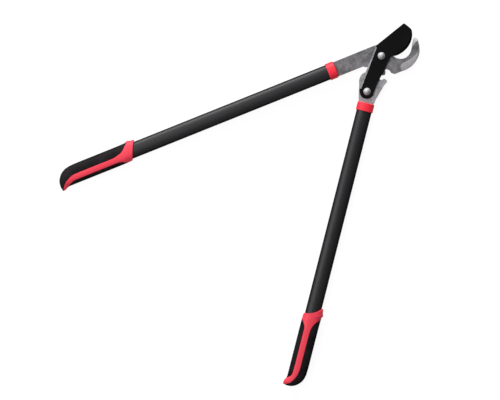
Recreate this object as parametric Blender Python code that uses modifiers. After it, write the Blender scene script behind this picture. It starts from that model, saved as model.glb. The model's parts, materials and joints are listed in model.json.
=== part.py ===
"""A geared bypass lopper, lying flat with its jaw part open.

The main pivot's axis is the origin and the tool lies on z = 0. +X runs along the
fixed handle's direction towards the jaw, and +Z is the side the blade is on.
Sizes are in metres; outlines are listed in millimetres and pass through mm() or
corners().
"""

import math

import bmesh
import bpy
from mathutils import Matrix, Vector
from mathutils.geometry import interpolate_bezier

MM = 0.001

# Driving dimensions
HANDLE_HEIGHT = 13.5 * MM
HANDLE_SPREAD = math.radians(53.9)
PIVOT_SPACING = 76 * MM
PIVOT_DIRECTION = math.radians(226.3)
HOOK_AXIS_OFFSET = 9.3 * MM
LEVER_AXIS_OFFSET = 4.1 * MM
FIXED_COLLAR_START = 93.5 * MM
FIXED_GRIP_END = 685 * MM
MOVING_COLLAR_START = 22.5 * MM
MOVING_GRIP_END = 603 * MM
TOUCH_GAP = 0.3 * MM

# Gear between hook and lever
HOOK_TEETH = 11
LEVER_TEETH = 13
PRESSURE_ANGLE = math.radians(22)
TOOTH_PLAY = 0.5 * MM
MESH_OFFSET = 7.1 * MM
HOOK_PITCH = PIVOT_SPACING * HOOK_TEETH / (HOOK_TEETH + LEVER_TEETH)
LEVER_PITCH = PIVOT_SPACING - HOOK_PITCH
HOOK_ROOT = 28.3 * MM
HOOK_TIP = 38.4 * MM
LEVER_ROOT = 35.6 * MM
LEVER_TIP = 46.8 * MM
FINGER_TIP = 43.9 * MM
FINGER_ROUNDING = 2.6 * MM
ROOT_FILLET = 2.0 * MM
TIP_ROUNDING = 1.5 * MM

# Plates
PLATE = 5 * MM
PLATE_LOW = HANDLE_HEIGHT - PLATE / 2
PLATE_HIGH = HANDLE_HEIGHT + PLATE / 2
BLADE = 4 * MM
BLADE_LOW = PLATE_HIGH + TOUCH_GAP
BLADE_HIGH = BLADE_LOW + BLADE
EDGE_LAND = 0.5 * MM
EDGE_BEVEL = 4.2 * MM
TANG_BEVEL = 3.2 * MM
TANG_BEVEL_DROP = 2.2 * MM
TANG_BEVEL_FADE = 0.03
HOOK_BAND_DROP = 2.2 * MM
HOOK_TIP_DROP = 3.2 * MM
SHANK_HALF_WIDTH = 15 * MM
HOOK_SHANK_DROP = 0.3 * MM
TONGUE_HALF_WIDTH = 12.4 * MM
TONGUE_LENGTH = 40 * MM

# Pivot hardware
BOLT_RADIUS = 4 * MM
RUNNING_CLEARANCE = 0.15 * MM
HEAD_RADIUS = 7.85 * MM
HEAD_RIM = 1.1 * MM
HEAD_HEIGHT = 4.6 * MM
BUSH_RADIUS = 6.5 * MM
WASHER_RADIUS = 8 * MM
WASHER_THICKNESS = 1.4 * MM
NUT_ACROSS_FLATS = 13 * MM
NUT_HEX_HEIGHT = 5.6 * MM
NUT_COLLAR_HEIGHT = 1.8 * MM
NUT_COLLAR_RADIUS = 6 * MM
INSERT_RADIUS = 5.1 * MM
INSERT_HEIGHT = 1.5 * MM

# Handles
TUBE_HALF_WIDTH = 15.2 * MM
TUBE_HALF_HEIGHT = 10 * MM
TUBE_WALL = 1.5 * MM
TUBE_SETBACK = 3.5 * MM
TUBE_END_SETBACK = 34 * MM
OVAL_POWER = 2.2
COLLAR_HALF_WIDTH = 17 * MM
COLLAR_HALF_HEIGHT = 12 * MM
COLLAR_LENGTH = 16.5 * MM
COLLAR_CHAMFER = 1 * MM
COLLAR_WALL = 3.2 * MM
PLUG_LENGTH = 30 * MM
RIVET_RADIUS = 3 * MM
RIVET_SETBACK = 10 * MM
RIVET_CHAMFER = 0.4 * MM

# Grip, in its own frame: x from its free end towards it, so every x is negative;
# y away from the other handle. A station is (outer x, outer y, inner x, inner y,
# half thickness) in millimetres.
GRIP_STATIONS = (
    (-167.0, 17.9, -150.3, -17.0, 12.3),
    (-165.4, 18.8, -148.9, -17.9, 13.1),
    (-152.4, 20.9, -143.0, -18.3, 13.5),
    (-148.8, 19.2, -137.0, -18.6, 13.5),
    (-120.0, 18.9, -118.0, -18.8, 13.5),
    (-46.0, 18.8, -44.0, -18.8, 13.5),
    (-32.0, 18.2, -30.0, -18.8, 13.5),
    (-21.0, 15.8, -21.5, -18.8, 13.4),
    (-13.0, 11.5, -16.8, -19.0, 13.0),
    (-6.9, 5.5, -13.2, -19.8, 12.2),
    (-2.7, -1.4, -10.8, -20.9, 11.0),
    (-0.6, -9.2, -8.6, -22.0, 9.2),
    (-0.4, -15.6, -6.4, -22.9, 6.6),
    (-1.6, -20.4, -4.4, -23.2, 3.0),
)
GRIP_REACH = 40 * MM
GRIP_POWER = 2.5
GRIP_SIDES = 20
PAD_THICKNESS = 2.2 * MM
CORE_STATIONS = slice(2, 12)
STRIPE_OUTER_EDGE = (
    (4.0, -27.0),
    (-2.2, -21.5),
    (-5.0, -14.5),
    (-10.0, -8.0),
    (-18.0, -2.5),
    (-26.0, 0.2),
    (-36.0, 1.1),
    (-60.0, 1.1),
    (-95.0, 1.1),
    (-117.0, 1.1),
    (-124.0, 2.6),
    (-131.0, 6.3),
    (-138.0, 11.5),
    (-145.0, 17.5),
    (-151.0, 24.5),
)
STRIPE_INNER_EDGE = (
    (-12.6, -25.0),
    (-14.0, -19.5),
    (-17.5, -15.0),
    (-22.0, -12.4),
    (-30.0, -11.2),
    (-55.0, -11.2),
    (-90.0, -11.2),
    (-117.0, -11.2),
    (-124.5, -12.2),
    (-130.0, -15.4),
    (-136.0, -21.0),
    (-139.0, -25.0),
)

# Outlines, in millimetres; a corner is (x, y, rounding radius)
HOOK_SHANK_END = (-40.6, 2)
HOOK_THROAT = ((0.2, -28.2, 2.5), (4.2, -31.4, 4), (6.4, -39.0, 5), (11.2, -43.1, 4), (25.2, -43.1, 0))
HOOK_BAND_OUTER = (
    (25.5, -43.1),
    (33.3, -43.6),
    (41.2, -42.8),
    (49.8, -40.7),
    (57.4, -36.9),
    (63.9, -32.1),
    (69.8, -26.3),
    (74.0, -19.4),
    (76.7, -11.9),
    (78.0, -6.5),
)
HOOK_BAND_INNER = (
    (26.0, -36.5),
    (30.0, -31.2),
    (36.0, -28.8),
    (44.8, -28.1),
    (53.0, -26.6),
    (60.5, -24.4),
    (66.5, -21.4),
    (71.0, -17.0),
    (75.0, -11.0),
    (78.0, -6.4),
)
HOOK_TIP_OUTER = (
    (79.0, 0.6),
    (78.8, 4.4),
    (77.6, 7.6),
    (75.4, 9.3),
    (72.9, 8.5),
    (70.4, 5.6),
    (67.6, 1.6),
    (64.6, -3.2),
)
HOOK_TIP_INNER = (
    (78.6, 1.6),
    (77.4, 1.6),
    (76.2, 1.4),
    (74.8, 1.0),
    (73.2, 0.4),
    (71.0, -0.8),
    (68.6, -2.4),
    (65.6, -4.6),
)
HOOK_INNER_EDGE = (
    (61.4, -8.3),
    (58.1, -13.0),
    (53.1, -17.3),
    (46.8, -20.3),
    (41.0, -21.1),
    (35.2, -20.2),
    (28.9, -16.8),
    (24.0, -11.9),
    (22.4, -5.0),
    (21.6, 4.0),
    (18.0, 12.0),
    (12.0, 18.2),
    (4.0, 22.6),
    (-5.0, 24.3),
)
BLADE_EDGE = (
    (23.6, -9.7),
    (30.1, -10.5),
    (37.2, -9.8),
    (44.2, -8.2),
    (51.1, -5.5),
    (58.0, -1.6),
    (64.0, 3.5),
    (69.0, 9.6),
    (72.8, 16.6),
    (74.8, 23.6),
)
BLADE_NOSE = ((74.4, 27.2), (72.0, 32.8), (69.6, 37.2), (67.0, 41.4))
BLADE_TIP = ((65.6, 43.3, 1.2), (60, 41.8, 0))
BLADE_HEEL = ((13.8, -10.0, 0), (17, -8.2, 1.5), (21.5, -8.1, 1.5), (23.6, -9.7, 0))
TANG_SPINE = ((-2.8, 22.6), (-64.8, -44.5))
TANG_END_OFFSET = (-1.0, -0.6)
TANG_END_RADIUS = 13.6
TANG_END_TURN = (-194, -42)
TANG_WAIST = ((-36.6, -57.0), (-30.5, -50.5), (-23.1, -43.8), (-15.4, -37.4), (2.9, -20.3))
LEVER_BACK = ((-10, -21.2, 20), (20, -29.8, 12), (29.4, -34.8, 3.6))
LEVER_NOTCH = ((35.8, 13.9, 1.5), (33.8, 16.2, 0))
LEVER_SHOULDER = (
    (33.8, 16.2),
    (30.6, 18.4),
    (25.4, 20.2),
    (20.2, 20.5),
    (15.0, 19.8),
    (8.0, 18.0),
    (-2.0, 15.9),
    (-12.0, 13.8),
    (-22.2, 11.3),
)

# Colours
COATED_BLACK = (0.009, 0.008, 0.009)
PLATE_GREY = (0.19, 0.19, 0.20)
BRIGHT_STEEL = (0.62, 0.62, 0.63)
TUBE_CHARCOAL = (0.030, 0.030, 0.032)
HANDLE_RED = (0.80, 0.030, 0.060)
PAD_BLACK = (0.014, 0.014, 0.015)
BRONZE = (0.42, 0.28, 0.14)
NYLON = (0.07, 0.16, 0.42)


def clear_scene():
    for obj in list(bpy.data.objects):
        bpy.data.objects.remove(obj)


def collection(name):
    made = bpy.data.collections.new(name)
    bpy.context.scene.collection.children.link(made)
    return made


clear_scene()
PIECES = collection("lopper")
CUTTERS = collection("cutters")


def principled(name, colour, roughness, metallic=0.0):
    material = bpy.data.materials.new(name)
    material.use_nodes = True
    shader = material.node_tree.nodes["Principled BSDF"]
    shader.inputs["Base Color"].default_value = (*colour, 1)
    shader.inputs["Roughness"].default_value = roughness
    shader.inputs["Metallic"].default_value = metallic
    material.diffuse_color = (*colour, 1)
    return material


coated = principled("coated_blade", COATED_BLACK, 0.4)
plate_steel = principled("plate_steel", PLATE_GREY, 0.45, 0.9)
bright_steel = principled("bright_steel", BRIGHT_STEEL, 0.2, 1.0)
tube_paint = principled("tube_paint", TUBE_CHARCOAL, 0.45)
red_plastic = principled("red_plastic", HANDLE_RED, 0.4)
pad_rubber = principled("pad_rubber", PAD_BLACK, 0.6)
bronze = principled("bush_bronze", BRONZE, 0.35, 1.0)
nylon = principled("insert_nylon", NYLON, 0.5)


def mm(*points):
    return [Vector(point) * MM for point in points]


def corners(*items):
    """Outline corners from (x, y, rounding radius) in millimetres."""
    return [(Vector((x, y)) * MM, radius * MM) for x, y, radius in items]


def polar(radius, angle):
    return Vector((math.cos(angle), math.sin(angle))) * radius


def arc(middle, radius, start, end, steps):
    return [middle + polar(radius, start + (end - start) * i / steps) for i in range(steps + 1)]


def rounded(items, steps=5):
    """The path through the corners, each turned into an arc of its own radius."""
    path = []
    for i, (corner, radius) in enumerate(items):
        if radius == 0:
            path.append(corner)
            continue
        before = (items[i - 1][0] - corner).normalized()
        after = (items[i + 1][0] - corner).normalized()
        half = before.angle(after) / 2
        middle = corner + (before + after).normalized() * radius / math.sin(half)
        start = corner + before * radius / math.tan(half) - middle
        end = corner + after * radius / math.tan(half) - middle
        turn = math.atan2(start.cross(end), start.dot(end))
        path += [middle + Matrix.Rotation(turn * j / steps, 2) @ start for j in range(steps + 1)]
    return path


def smooth(points, steps=3):
    """A smooth curve through the points, with so many steps from each to the next."""
    ends = [points[0] * 2 - points[1], *points, points[-1] * 2 - points[-2]]
    curve = [points[0]]
    for before, start, end, after in zip(ends, ends[1:], ends[2:], ends[3:]):
        leave = start + (end - before) / 6
        arrive = end - (after - start) / 6
        curve += interpolate_bezier(start, leave, arrive, end, steps + 1)[1:]
    return curve


def normals(points):
    """The unit normal at each point of an open path, to the left of its direction."""
    found = []
    for i in range(len(points)):
        along = points[min(i + 1, len(points) - 1)] - points[max(i - 1, 0)]
        found.append(Vector((-along.y, along.x)).normalized())
    return found


def moved_left(points, distance, fade=0):
    """The path moved to its left, by less over its first and last few points."""
    last = len(points) - 1
    moved = []
    for i, (point, normal) in enumerate(zip(points, normals(points))):
        share = min(1, i / fade, (last - i) / fade) if fade else 1
        moved.append(point + normal * distance * share)
    return moved


def involute(angle):
    return math.tan(angle) - angle


def tooth(middle, pitch, teeth, root, tip):
    """Corners of a gear tooth's rising and falling flank, counterclockwise; middle is its angle."""
    base = pitch * math.cos(PRESSURE_ANGLE)
    at_pitch = math.pi / (2 * teeth) - TOOTH_PLAY / (2 * pitch)

    def half_angle(radius):
        slant = math.acos(base / max(radius, base))
        return at_pitch + involute(PRESSURE_ANGLE) - involute(slant)

    flank = ((root, ROOT_FILLET), (base, 0), (pitch, 0), (tip, TIP_ROUNDING))
    rising = [(polar(r, middle - half_angle(r)), rounding) for r, rounding in flank]
    falling = [(polar(r, middle + half_angle(r)), rounding) for r, rounding in reversed(flank)]
    return rising, falling


def add_object(name, data, material, parent=None, into=PIECES):
    obj = bpy.data.objects.new(name, data)
    if material:
        data.materials.append(material)
    into.objects.link(obj)
    obj.parent = parent
    return obj


def shaded(mesh):
    mesh.shade_smooth()
    mesh.set_sharp_from_angle(angle=math.radians(30))
    return mesh


def mesh_of(bm, name):
    mesh = bpy.data.meshes.new(name)
    bm.to_mesh(mesh)
    bm.free()
    return shaded(mesh)


def loft(name, rings, material, parent=None, into=PIECES):
    """A closed solid through rings of equally many points, capped at both ends."""
    bm = bmesh.new()
    loops = [[bm.verts.new(point) for point in ring] for ring in rings]
    for low, high in zip(loops, loops[1:]):
        for i in range(len(low)):
            bm.faces.new((low[i - 1], low[i], high[i], high[i - 1]))
    bm.faces.new(loops[0])
    bm.faces.new(loops[-1])
    bmesh.ops.recalc_face_normals(bm, faces=bm.faces)
    return add_object(name, mesh_of(bm, name), material, parent, into)


def sloped_plate(name, outline, low, high, material, parent):
    """A plate from (point, top point, wall) triples, where wall is the upright wall's height.

    Above its wall the side leans in to the top point, so an edge with a low wall and a
    top point inside the outline is a bevel.
    """
    kept = [place for place, before in zip(outline, [outline[-1], *outline]) if apart(place, before)]
    rings = (
        [(*point, low) for point, _, _ in kept],
        [(*point, low + wall) for point, _, wall in kept],
        [(*top, high) for _, top, _ in kept],
    )
    return loft(name, rings, material, parent)


def apart(place, before):
    return (place[0] - before[0]).length > 0.05 * MM


def upright(points):
    return [(point, point, BLADE / 2) for point in points]


def bevelled(points, tops, wall):
    return [(point, top, wall) for point, top in zip(points, tops)]


def meshed(curve_object):
    """The curve object replaced by a mesh object with its caps welded."""
    bpy.context.view_layer.update()
    graph = bpy.context.evaluated_depsgraph_get()
    mesh = bpy.data.meshes.new_from_object(curve_object.evaluated_get(graph))
    bm = bmesh.new()
    bm.from_mesh(mesh)
    bmesh.ops.remove_doubles(bm, verts=bm.verts, dist=1e-6)
    bm.to_mesh(mesh)
    bm.free()
    name = curve_object.name
    place = curve_object.matrix_world.copy()
    parent = curve_object.parent
    into = curve_object.users_collection[0]
    bpy.data.objects.remove(curve_object)
    obj = add_object(name, shaded(mesh), None, parent, into)
    obj.matrix_world = place
    return obj


def flat_solid(name, outlines, thickness, material, parent=None, into=PIECES):
    """A 2D curve of closed outlines, filled and extruded, made a mesh."""
    curve = bpy.data.curves.new(name, "CURVE")
    curve.dimensions = "2D"
    curve.fill_mode = "BOTH"
    curve.extrude = thickness / 2
    for outline in outlines:
        spline = curve.splines.new("POLY")
        spline.points.add(len(outline) - 1)
        for point, place in zip(spline.points, outline):
            point.co = (*place, 0, 1)
        spline.use_cyclic_u = True
    return add_object(name, curve, material, parent, into)


def boolean(target, cutter, operation="DIFFERENCE"):
    modifier = target.modifiers.new(cutter.name, "BOOLEAN")
    modifier.operation = operation
    modifier.object = cutter
    cutter.hide_render = True
    cutter.display_type = "WIRE"


def cylinder(name, radius, depth, place, material=None, parent=None, into=CUTTERS, sides=32):
    bm = bmesh.new()
    bmesh.ops.create_cone(
        bm, cap_ends=True, segments=sides, radius1=radius, radius2=radius, depth=depth
    )
    obj = add_object(name, mesh_of(bm, name), material, parent, into)
    obj.location = place
    return obj


def block(name, size, place, parent=None):
    bm = bmesh.new()
    bmesh.ops.create_cube(bm, size=1)
    bmesh.ops.scale(bm, vec=size, verts=bm.verts)
    obj = add_object(name, mesh_of(bm, name), None, parent, CUTTERS)
    obj.location = place
    return obj


def turned(name, profile, material, parent, closed=False, steps=28):
    """A profile of (radius, height), down its outer side, turned about Z."""
    bm = bmesh.new()
    verts = [bm.verts.new((radius, 0, height)) for radius, height in profile]
    for start, end in zip(verts, verts[1:]):
        bm.edges.new((start, end))
    if closed:
        bm.edges.new((verts[-1], verts[0]))
    mesh = bpy.data.meshes.new(name)
    bm.to_mesh(mesh)
    bm.free()
    obj = add_object(name, mesh, material, parent)
    screw = obj.modifiers.new("turn", "SCREW")
    screw.steps = steps
    screw.render_steps = steps
    screw.use_merge_vertices = True
    screw.merge_threshold = 1e-5
    return obj


def ring(name, inner, outer, low, high, material, parent):
    profile = [(outer, high), (outer, low), (inner, low), (inner, high)]
    return turned(name, profile, material, parent, closed=True)


def empty(name, place, turn=(0, 0, 0), parent=None):
    obj = bpy.data.objects.new(name, None)
    PIECES.objects.link(obj)
    obj.location = place
    obj.rotation_euler = turn
    obj.parent = parent
    return obj


def hook_outline():
    """Counterclockwise from the tongue's lower corner, as sloped_plate() takes it."""
    step = math.tau / HOOK_TEETH
    first_valley = PIVOT_DIRECTION + MESH_OFFSET / HOOK_PITCH
    flanks = []
    for place in (-1.5, -0.5, 0.5):
        flanks += tooth(first_valley + place * step, HOOK_PITCH, HOOK_TEETH, HOOK_ROOT, HOOK_TIP)
    visible_flanks = sum(flanks[1:], [])
    shank_axis = HOOK_AXIS_OFFSET - HOOK_SHANK_DROP
    shank_low = (shank_axis - SHANK_HALF_WIDTH) / MM
    tongue_low = (HOOK_AXIS_OFFSET - TONGUE_HALF_WIDTH) / MM
    collar = -(FIXED_COLLAR_START - TOUCH_GAP) / MM
    tongue_end = collar - TONGUE_LENGTH / MM
    lower = corners((tongue_end, tongue_low, 0), (collar, tongue_low, 0), (collar, shank_low, 0))
    shank_end, rounding = HOOK_SHANK_END
    lower += corners((shank_end, shank_low, rounding))
    run = rounded(lower + visible_flanks + corners(*HOOK_THROAT))
    shank_top = (shank_axis + SHANK_HALF_WIDTH) / MM
    tongue_top = (HOOK_AXIS_OFFSET + TONGUE_HALF_WIDTH) / MM
    upper = mm((collar, shank_top), (collar, tongue_top), (tongue_end, tongue_top))
    outline = upright(run)
    band = smooth(mm(*HOOK_BAND_OUTER)), smooth(mm(*HOOK_BAND_INNER))
    outline += bevelled(*band, PLATE - HOOK_BAND_DROP)
    tip = smooth(mm(*HOOK_TIP_OUTER)), smooth(mm(*HOOK_TIP_INNER))
    outline += bevelled(*tip, PLATE - HOOK_TIP_DROP)
    outline += upright(smooth(mm(*HOOK_INNER_EDGE)))
    return outline + upright(upper)


def blade_outline(lever_axis):
    """Counterclockwise from the round end of the tang, as sloped_plate() takes it."""
    turn_start, turn_end = map(math.radians, TANG_END_TURN)
    end_middle = lever_axis + Vector(TANG_END_OFFSET) * MM
    round_end = arc(end_middle, TANG_END_RADIUS * MM, turn_start, turn_end, 14)
    heel = rounded(corners(*BLADE_HEEL))
    waist = smooth([round_end[-1], *mm(*TANG_WAIST), heel[0]])
    edge = smooth(mm(*BLADE_EDGE))
    nose = smooth([edge[-1], *mm(*BLADE_NOSE)])
    tip = rounded([(nose[-1], 0), *corners(*BLADE_TIP)])
    tang_top, tang_low = mm(*TANG_SPINE)
    places = (0, TANG_BEVEL_FADE, 0.25, 0.5, 0.75, 1 - TANG_BEVEL_FADE, 1)
    tang = [tang_top.lerp(tang_low, place) for place in places]
    outline = upright(round_end + waist[1:-1] + heel)
    outline += bevelled(edge, moved_left(edge, EDGE_BEVEL, fade=3), EDGE_LAND)
    outline += upright(nose[1:-1] + tip)
    outline += bevelled(tang, moved_left(tang, TANG_BEVEL, fade=1), BLADE - TANG_BEVEL_DROP)
    return outline


def lever_outline():
    """Counterclockwise, in the lever's own frame: x towards the jaw, the pivot at the origin."""
    step = math.tau / LEVER_TEETH
    centre_line = PIVOT_DIRECTION - math.pi - HANDLE_SPREAD
    first = centre_line - MESH_OFFSET / LEVER_PITCH
    _, finger_flank = tooth(first - step, LEVER_PITCH, LEVER_TEETH, LEVER_ROOT, FINGER_TIP)
    teeth = []
    for place in (first, first + step):
        teeth += sum(tooth(place, LEVER_PITCH, LEVER_TEETH, LEVER_ROOT, LEVER_TIP), [])
    collar = -(MOVING_COLLAR_START - TOUCH_GAP) / MM
    tongue_end = collar - TONGUE_LENGTH / MM
    axis = -LEVER_AXIS_OFFSET / MM
    tongue = TONGUE_HALF_WIDTH / MM
    shank = SHANK_HALF_WIDTH / MM
    lower = corners((tongue_end, axis - tongue, 0), (collar, axis - tongue, 0))
    lower += corners((collar, axis - shank, 0), *LEVER_BACK)
    finger_flank[0] = (finger_flank[0][0], FINGER_ROUNDING)
    run = rounded(lower + finger_flank + teeth[:-1] + corners(*LEVER_NOTCH))
    upper = mm((collar, axis + tongue), (tongue_end, axis + tongue))
    return run + smooth(mm(*LEVER_SHOULDER))[1:] + upper


def make_pivot(prefix, place, blade_pivot, carrier):
    """Bolt, washer, lock nut and insert turn with the blade; the bush stays in its plate."""
    parent = empty(f"{prefix}_axis", place, parent=blade_pivot)
    head_low = BLADE_HIGH + TOUCH_GAP
    cap = HEAD_HEIGHT - HEAD_RIM
    sphere = (HEAD_RADIUS**2 + cap**2) / (2 * cap)
    reach = math.asin(HEAD_RADIUS / sphere)
    top = head_low + HEAD_HEIGHT
    dome = [reach * i / 6 for i in range(7)]
    profile = [(sphere * math.sin(a), top - sphere * (1 - math.cos(a))) for a in dome]
    profile += [(HEAD_RADIUS, head_low), (BOLT_RADIUS, head_low), (BOLT_RADIUS, 0), (0, 0)]
    turned(f"{prefix}_bolt", profile, bright_steel, parent)

    bore = BOLT_RADIUS + RUNNING_CLEARANCE
    washer_high = PLATE_LOW - TOUCH_GAP
    washer_low = washer_high - WASHER_THICKNESS
    ring(f"{prefix}_washer", bore, WASHER_RADIUS, washer_low, washer_high, bright_steel, parent)

    nut_high = washer_low - TOUCH_GAP
    hex_low = nut_high - NUT_HEX_HEIGHT
    nut_low = hex_low - NUT_COLLAR_HEIGHT
    corner_radius = NUT_ACROSS_FLATS / 2 / math.cos(math.pi / 6)
    middle = (0, 0, nut_high - NUT_HEX_HEIGHT / 2)
    nut = cylinder(
        f"{prefix}_nut", corner_radius, NUT_HEX_HEIGHT, middle, bright_steel, parent, PIECES, 6
    )
    collar_depth = NUT_COLLAR_HEIGHT + NUT_HEX_HEIGHT / 2
    collar_place = (0, 0, nut_low + collar_depth / 2)
    collar = cylinder(
        f"{prefix}_nut_collar_form", NUT_COLLAR_RADIUS, collar_depth, collar_place, parent=parent
    )
    boolean(nut, collar, "UNION")
    recess_depth = INSERT_HEIGHT + 2 * TOUCH_GAP
    recess_place = (0, 0, nut_low + recess_depth / 2 - TOUCH_GAP)
    recess_radius = INSERT_RADIUS + TOUCH_GAP
    recess = cylinder(
        f"{prefix}_insert_recess", recess_radius, recess_depth, recess_place, parent=parent
    )
    boolean(nut, recess)
    thread = cylinder(f"{prefix}_nut_bore", bore, 4 * NUT_HEX_HEIGHT, middle, parent=parent)
    boolean(nut, thread)
    insert_high = nut_low + INSERT_HEIGHT
    ring(f"{prefix}_nut_insert", bore, INSERT_RADIUS, nut_low, insert_high, nylon, parent)

    bush_parent = empty(f"{prefix}_bush_axis", (0, 0, 0), parent=carrier)
    ring(f"{prefix}_bush", bore, BUSH_RADIUS, PLATE_LOW, PLATE_HIGH, bronze, bush_parent)


def pierce(plate, name, radius, place, parent, low, high):
    centre = (place[0], place[1], (low + high) / 2)
    depth = (high - low) * 1.5
    boolean(plate, cylinder(name, radius, depth, centre, parent=parent))


def oval(half_width, half_height, power=OVAL_POWER, count=32):
    """(across, up) points of an oval between an ellipse and a box."""
    points = []
    for i in range(count):
        angle = math.tau * i / count
        across, up = math.cos(angle), math.sin(angle)
        width = math.copysign(abs(across) ** (2 / power), across) * half_width
        height = math.copysign(abs(up) ** (2 / power), up) * half_height
        points.append(Vector((width, height)))
    return points


def oval_bar(name, sections, parent, material=None, into=CUTTERS):
    """A solid along the handle's x through ovals of (x, half width, half height)."""
    rings = [[(x, p.x, p.y) for p in oval(width, height)] for x, width, height in sections]
    return loft(name, rings, material, parent, into)


def make_tube(prefix, handle, start, end):
    inner_width = TUBE_HALF_WIDTH - TUBE_WALL
    inner_height = TUBE_HALF_HEIGHT - TUBE_WALL
    walls = [
        [point.yx for point in oval(TUBE_HALF_WIDTH, TUBE_HALF_HEIGHT)],
        [point.yx for point in oval(inner_width, inner_height)],
    ]
    tube = flat_solid(f"{prefix}_tube", walls, end - start, tube_paint, handle)
    tube.location = ((start + end) / 2, 0, 0)
    tube.rotation_euler = (0, math.pi / 2, 0)
    return meshed(tube)


def make_collar(prefix, handle, start):
    """The tube's end fitting: a skirt outside the tube, and a slotted plug inside it."""
    slim = COLLAR_HALF_WIDTH - COLLAR_CHAMFER, COLLAR_HALF_HEIGHT - COLLAR_CHAMFER
    full = COLLAR_HALF_WIDTH, COLLAR_HALF_HEIGHT
    end = start + COLLAR_LENGTH
    sections = (
        (start, *slim),
        (start + COLLAR_CHAMFER, *full),
        (end - COLLAR_CHAMFER, *full),
        (end, *slim),
    )
    collar = oval_bar(f"{prefix}_collar", sections, handle, red_plastic, PIECES)
    socket = (TUBE_HALF_WIDTH + TOUCH_GAP, TUBE_HALF_HEIGHT + TOUCH_GAP)
    mouth = start + COLLAR_WALL
    form = f"{prefix}_collar_socket"
    boolean(collar, oval_bar(form, ((mouth, *socket), (end + COLLAR_WALL, *socket)), handle))
    inside = TUBE_WALL + TOUCH_GAP
    plug = (TUBE_HALF_WIDTH - inside, TUBE_HALF_HEIGHT - inside)
    root = start + COLLAR_WALL / 2
    form = f"{prefix}_collar_plug"
    boolean(collar, oval_bar(form, ((root, *plug), (start + PLUG_LENGTH, *plug)), handle), "UNION")
    slot = (2 * PLUG_LENGTH + COLLAR_WALL, 2 * (TONGUE_HALF_WIDTH + TOUCH_GAP), PLATE + 2 * TOUCH_GAP)
    place = (start + PLUG_LENGTH / 2, 0, 0)
    boolean(collar, block(f"{prefix}_tongue_slot", slot, place, handle))
    return collar


def make_rivet(prefix, handle, start, pierced):
    place = (start + RIVET_SETBACK, 0, 0)
    length = 2 * (TUBE_HALF_HEIGHT - TOUCH_GAP)
    name = f"{prefix}_tongue_rivet"
    rivet = cylinder(name, RIVET_RADIUS, length, place, bright_steel, handle, PIECES, 24)
    edge = rivet.modifiers.new("edge", "BEVEL")
    edge.width = RIVET_CHAMFER
    edge.segments = 1
    edge.limit_method = "ANGLE"
    radius = RIVET_RADIUS + TOUCH_GAP
    hole = cylinder(f"{prefix}_rivet_hole", radius, length * 1.02, place, parent=handle, sides=24)
    for piece in pierced:
        boolean(piece, hole)


def grip_rings(stations, inset=0.0):
    """Oval rings across the grip, drawn in by inset all round."""
    rings = []
    for outer_x, outer_y, inner_x, inner_y, half_thickness in stations:
        outer, inner = mm((outer_x, outer_y), (inner_x, inner_y))
        middle = (outer + inner) / 2
        across = (outer - inner).normalized()
        half_width = (outer - inner).length / 2 - inset
        section = oval(half_width, half_thickness * MM - inset, GRIP_POWER, GRIP_SIDES)
        rings.append([(*(middle + across * p.x), p.y) for p in section])
    return rings


def side_region(name, edge, beyond, parent):
    """A block taller than the grip, from a stripe's edge out to y = beyond."""
    outline = [*edge, Vector((edge[-1].x, beyond)), Vector((edge[0].x, beyond))]
    return meshed(flat_solid(name, [outline], 4 * HANDLE_HEIGHT, None, parent, CUTTERS))


def make_grip(prefix, handle, end):
    """Red core with its ring and stripes, and the soft pads either side of the stripes."""
    frame = empty(f"{prefix}_grip_frame", (end, 0, 0), parent=handle)
    outside = grip_rings(GRIP_STATIONS)
    stripe_outer = smooth(mm(*STRIPE_OUTER_EDGE))
    stripe_inner = smooth(mm(*STRIPE_INNER_EDGE))
    beyond = GRIP_REACH

    core = loft(f"{prefix}_grip_core", outside, red_plastic, frame)
    name = f"{prefix}_grip_outer_side"
    boolean(core, side_region(name, stripe_outer, beyond, frame))
    name = f"{prefix}_grip_inner_side"
    boolean(core, side_region(name, stripe_inner, -beyond, frame))
    inner_rings = grip_rings(GRIP_STATIONS[CORE_STATIONS], PAD_THICKNESS)
    sleeve = loft(f"{prefix}_grip_sleeve_form", inner_rings, None, frame, CUTTERS)
    boolean(core, sleeve, "UNION")
    socket = (TUBE_HALF_WIDTH + TOUCH_GAP, TUBE_HALF_HEIGHT + TOUCH_GAP)
    front = GRIP_STATIONS[0][0] * MM * 1.1
    tube_end = -TUBE_END_SETBACK + TOUCH_GAP
    sections = ((front, *socket), (tube_end, *socket))
    boolean(core, oval_bar(f"{prefix}_grip_socket", sections, frame))

    clearance = grip_rings(GRIP_STATIONS[CORE_STATIONS], PAD_THICKNESS - TOUCH_GAP)
    hollow = loft(f"{prefix}_grip_pad_hollow", clearance, None, frame, CUTTERS)
    sides = (("outer", stripe_outer, beyond, -1), ("inner", stripe_inner, -beyond, 1))
    for side, edge, limit, away in sides:
        pad = loft(f"{prefix}_grip_{side}_pad", outside, pad_rubber, frame)
        name = f"{prefix}_grip_{side}_pad_region"
        region = side_region(name, moved_left(edge, away * TOUCH_GAP), limit, frame)
        boolean(pad, region, "INTERSECT")
        boolean(pad, hollow)


def make_handle(prefix, handle, collar_start, grip_end):
    tube = make_tube(prefix, handle, collar_start + TUBE_SETBACK, grip_end - TUBE_END_SETBACK)
    collar = make_collar(prefix, handle, collar_start)
    make_grip(prefix, handle, grip_end)
    return tube, collar


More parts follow.
